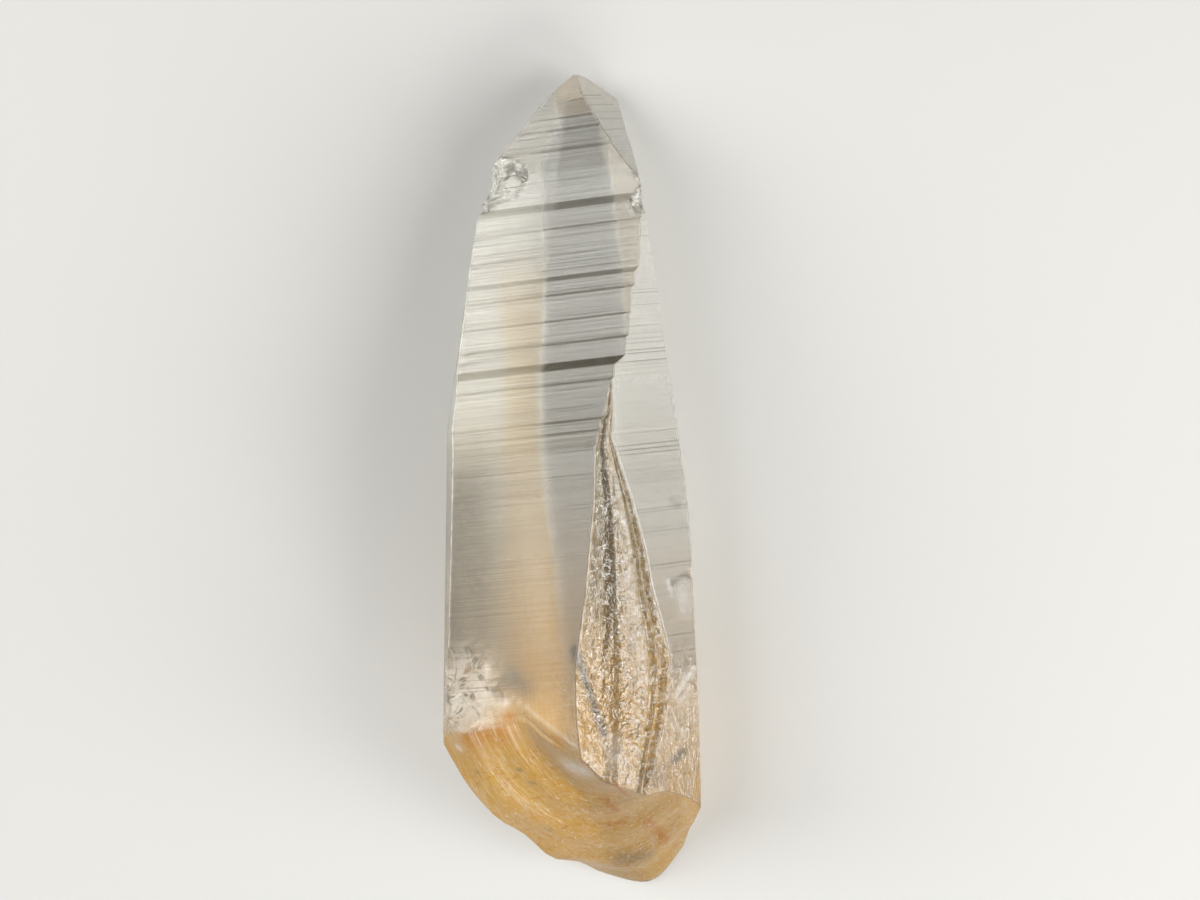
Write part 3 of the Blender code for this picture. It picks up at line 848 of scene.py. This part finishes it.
# %% Coordinates of the quartz material
quartz = bpy.data.materials.new("natural quartz, satin grown faces, iron stained")
quartz.use_nodes = True
tree = quartz.node_tree
shader = tree.nodes["Principled BSDF"]
output = tree.nodes["Material Output"]
object_place = add(tree, "TexCoord")["Object"]
to_crystal = {"Vector": object_place, "Scale": (1.0 / MM,) * 3, "Location": (-slide).tolist()}
crystal_mm = add(tree, "Mapping", to_crystal)[0]
parts = add(tree, "SeparateXYZ", {0: crystal_mm})
flat = add(tree, "CombineXYZ", {0: parts[0], 1: parts[2]})[0]
away = add(tree, "VectorMath", {0: flat, 1: (*RIPPLE_ORIGIN, 0.0)}, operation="DISTANCE")["Value"]
ring_mm = add(tree, "CombineXYZ", {0: away, 1: parts[0]})[0]
print(quartz.name)

# %% [markdown]
# Each pattern is noise on millimetres, stretched along or across the crystal. The break's
# pattern runs on the distance from where the break began, so its lines are rings round that
# place. A folded pattern has its ridge where the noise crosses its middle, which draws thin
# crinkled lines.

# %% Patterns
PATTERNS = {  # place, stretch per mm, detail, roughness, distortion, folded
    "growth": (crystal_mm, (0.015, 2.6, 0.015), 3.0, 0.7, 0.0, False),
    "etching": (crystal_mm, (1.1, 0.70, 1.1), 2.0, 0.6, 0.0, False),
    "crust": (crystal_mm, (1.1, 1.1, 1.1), 2.0, 0.6, 0.0, False),
    "rings": (ring_mm, (2.2, 0.16, 1.0), 2.0, 0.6, 0.0, False),
    "shards": (crystal_mm, (0.45, 0.60, 0.45), 2.0, 0.6, 1.2, False),
    "scribble": (crystal_mm, (0.70, 0.50, 0.70), 2.0, 0.5, 1.2, True),
    "dashes": (crystal_mm, (0.40, 1.50, 0.40), 2.0, 0.6, 0.0, True),
    "hairs": (ring_mm, (0.9, 0.45, 1.0), 2.0, 0.5, 1.5, True),
    "veins": (crystal_mm, (0.16, 0.30, 0.16), 2.0, 0.6, 1.5, True),
}
patterns = {}
for name, (place, stretch, detail, roughness, distortion, folded) in PATTERNS.items():
    stretched = add(tree, "Mapping", {"Vector": place, "Scale": stretch})[0]
    noise_inputs = {"Vector": stretched, "Scale": 1.0, "Detail": detail, "Roughness": roughness,
                    "Distortion": distortion}
    value = add(tree, "TexNoise", noise_inputs)["Fac"]
    if folded:
        value = add(tree, "Math", {0: value, 1: 0.5}, operation="PINGPONG")[0]
    patterns[name] = value
paints = {name: add(tree, "Attribute", attribute_name=name)["Fac"] for name in list(PAINTS) + ["riser"]}
print(len(patterns), "patterns and", len(paints), "paints")

# %% [markdown]
# The base colour is built like a glaze, one thin layer over the other. A layer's cover is its
# paint times its pattern, where the pattern's range low to high becomes start to stop.

# %% Layers of the base colour
CLEAR, AMBER, MILK, SHADE, RUST = "#E6E6E1", "#CEA24A", "#FCFBF7", "#5D584C", "#C2780C"
LAYERS = (  # paint, colour, pattern, low, high, start, stop
    ("amber_and_painted_shade", AMBER, "crust", 0.3, 0.7, 0.85, 1.08),
    ("grown", SHADE, "growth", 0.50, 0.68, 0.0, 0.20),
    ("grown", MILK, "growth", 0.46, 0.34, 0.0, 0.15),
    ("cracked", RUST, "rings", 0.52, 0.75, 0.0, 0.15),
    ("cracked", RUST, "veins", 0.486, 0.497, 0.0, 0.70),
    ("etched", SHADE, "etching", 0.53, 0.64, 0.0, 0.45),
    ("etched", MILK, "etching", 0.46, 0.36, 0.0, 0.12),
    ("shade", SHADE, "crust", 0.3, 0.6, 0.93, 1.0),
    ("milk_and_painted_light", MILK, "crust", 0.35, 0.6, 0.6, 1.0),
    ("rust", RUST, "crust", 0.35, 0.6, 0.6, 1.0),
    ("shards", SHADE, "shards", 0.56, 0.62, 0.0, 0.75),
    ("shards", MILK, "shards", 0.54, 0.44, 0.0, 1.0),
    ("riser", SHADE, "crust", 0.3, 0.5, 0.9, 1.0),
    ("etched", MILK, "scribble", 0.482, 0.497, 0.0, 0.95),
    ("dashed", MILK, "dashes", 0.470, 0.495, 0.0, 0.55),
    ("cracked", MILK, "hairs", 0.484, 0.497, 0.0, 0.46),
)
colour = linear(CLEAR)
for paint, tint, pattern, low, high, start, stop in LAYERS:
    cover = add(tree, "MapRange", {"Value": patterns[pattern], "From Min": low, "From Max": high,
                                   "To Min": start, "To Max": stop})[0]
    cover = add(tree, "Math", {0: cover, 1: paints[paint]}, operation="MULTIPLY")[0]
    colour = add(tree, "Mix", {0: cover, 6: colour, 7: linear(tint)}, data_type="RGBA")[2]
tree.links.new(colour, shader.inputs["Base Color"])
print(len(LAYERS), "layers of colour")

# %% [markdown]
# Relief finer than the mesh, such as the faint lines between striations, is bump. The same
# patterns give the colour and the height, so that line and relief coincide.

# %% Bump
HEIGHTS = (  # paint, pattern, height in mm
    ("grown", "growth", 0.08), ("etched", "etching", 0.32),
    ("etched", "scribble", 0.30), ("cracked", "rings", 0.10),
    ("shards", "shards", 1.20),
)
height = 0.0
for paint, pattern, most in HEIGHTS:
    level = add(tree, "Math", {0: patterns[pattern], 1: most}, operation="MULTIPLY")[0]
    height = add(tree, "Math", {0: level, 1: paints[paint], 2: height}, operation="MULTIPLY_ADD")[0]
normal = add(tree, "Bump", {"Height": height, "Distance": MM, "Strength": 1.0})[0]
tree.links.new(normal, shader.inputs["Normal"])
print("highest bump, mm:", max(most for _, _, most in HEIGHTS))

# %% [markdown]
# The body is quartz all through: it bends light, lets most of it pass and takes a little blue
# out of it on the way, more the longer the path. Its satin skin scatters the rest.

# %% Clarity and absorption
QUARTZ_IOR = 1.544
TRANSMISSION = 0.72
ABSORPTION_COLOUR, ABSORPTION_DENSITY = "#F1E3B4", 14.0

tree.links.new(paints["rough"], shader.inputs["Roughness"])
shader.inputs["IOR"].default_value = QUARTZ_IOR
shader.inputs["Transmission Weight"].default_value = TRANSMISSION
body = {"Color": linear(ABSORPTION_COLOUR), "Density": ABSORPTION_DENSITY}
tree.links.new(add(tree, "VolumeAbsorption", body)[0], output.inputs["Volume"])
mesh.materials.append(quartz)
print(len(tree.nodes), "nodes in the quartz material")

# %% [markdown]
# The crystal is one piece that moves as one, so its surface rides on the root and stands for
# the only solid of the frame.

# %% Tell the frame about the piece
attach(crystal, "root")
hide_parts("quartz_crystal")
print(crystal.name, "stands for quartz_crystal")

# %% [markdown]
# ## Floor and room
#
# A see-through thing shows its surroundings, so these are plain: pale paper and a dim room. The
# paper shows through the clear parts, as a table top would.

# %% Floor and room
PAPER = "#C2C1BD"
FLOOR_HALF = 2.0
FLOOR_DROP = -0.0003
ROOM, ROOM_STRENGTH = "#E8E9EA", 0.22

floor_mesh = bpy.data.meshes.new("floor")
floor_corners = [(x_end * FLOOR_HALF, y_end * FLOOR_HALF, FLOOR_DROP)
                 for x_end, y_end in ((-1, -1), (1, -1), (1, 1), (-1, 1))]
floor_mesh.from_pydata(floor_corners, [], [(0, 1, 2, 3)])
floor = bpy.data.objects.new("floor", floor_mesh)
bpy.context.scene.collection.objects.link(floor)
paper = bpy.data.materials.new("pale paper")
paper.use_nodes = True
paper.node_tree.nodes["Principled BSDF"].inputs["Base Color"].default_value = linear(PAPER)
paper.node_tree.nodes["Principled BSDF"].inputs["Roughness"].default_value = 0.9
floor_mesh.materials.append(paper)
floor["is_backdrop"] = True

world = bpy.data.worlds.new("studio")
world.use_nodes = True
world.node_tree.nodes["Background"].inputs["Color"].default_value = linear(ROOM)
world.node_tree.nodes["Background"].inputs["Strength"].default_value = ROOM_STRENGTH
bpy.context.scene.world = world
bpy.context.scene.view_settings.view_transform = "Standard"
print("floor is", FLOOR_HALF * 2, "m wide")

# %% [markdown]
# ## Soft boxes
#
# The two low boxes at the sides light the crystal from within, through its side faces. The one
# above glances off the satin front, and the one at the foot lights the break.


# %% Soft boxes
def softbox(name, place, size, watts, aim):
    """A rectangular light that faces the crystal or the air above it, which keeps the floor even."""
    light = bpy.data.lights.new(name, "AREA")
    light.shape = "RECTANGLE"
    light.size, light.size_y = size
    light.energy = watts
    lamp = bpy.data.objects.new(name, light)
    bpy.context.scene.collection.objects.link(lamp)
    lamp.location = place
    lamp.rotation_euler = (Vector(place) - Vector(aim)).to_track_quat("Z", "Y").to_euler()
    print(name, watts, "W")


softbox("left_softbox", (-0.55, 0.19, 0.25), (0.32, 0.64), 3.8, (0.0, 0.0, 0.10))
softbox("right_softbox", (0.56, -0.15, 0.25), (0.32, 0.64), 5.8, (0.0, 0.0, 0.10))
softbox("top_softbox", (-0.20, 0.10, 0.50), (0.30, 0.40), 1.1, (0.0, 0.0, 0.01))
softbox("base_softbox", (0.26, -0.58, 0.29), (0.48, 0.26), 4.2, (0.0, -0.04, 0.05))

# %% [markdown]
# ## Camera
#
# The photo shows the front face and the upper right one, so the camera stands above the crystal
# and is rolled towards the right. In the picture the crystal leans a little to the left.

# %% Camera
SCALE = 0.137
LENS = 100.0
SENSOR = 36.0
PHOTO_WIDTH = 1200
ROLL, LEAN = math.radians(20.0), math.radians(6.0)
LOOK_HEIGHT = 12.0
LOOK_SHIFT = 30.0

toward = np.array((math.sin(ROLL), 0.0, math.cos(ROLL)))
across = np.array((math.cos(ROLL), 0.0, -math.sin(ROLL)))
lengthwise = np.array((0.0, 1.0, 0.0))
right = math.cos(LEAN) * across - math.sin(LEAN) * lengthwise
up = math.sin(LEAN) * across + math.cos(LEAN) * lengthwise
target = np.array((LOOK_HEIGHT * math.tan(ROLL), 0.0, LOOK_HEIGHT)) + slide
target = target + LOOK_SHIFT * SCALE * (right + up)
eye = target + toward * PHOTO_WIDTH * SCALE * LENS / SENSOR
camera_data = bpy.data.cameras.new("camera")
camera_data.lens = LENS
camera_data.clip_start = 0.01
camera = bpy.data.objects.new("camera", camera_data)
bpy.context.scene.collection.objects.link(camera)
turn = Matrix([[right[i], up[i], toward[i]] for i in range(3)])
camera.matrix_world = Matrix.Translation(eye * MM) @ turn.to_4x4()
bpy.context.scene.camera = camera
print("camera is", round(float(np.linalg.norm(eye - target))), "mm away")

# %% [markdown]
# ## Sizes
#
# The surface has to fill the frame's box and not stand out of it. Both boxes are measured and
# kept, in metres.

# %% Sizes and finish
low, high = (list(corner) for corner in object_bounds())
print("visual box, mm:", [round((b - a) * 1000, 1) for a, b in zip(low, high)])
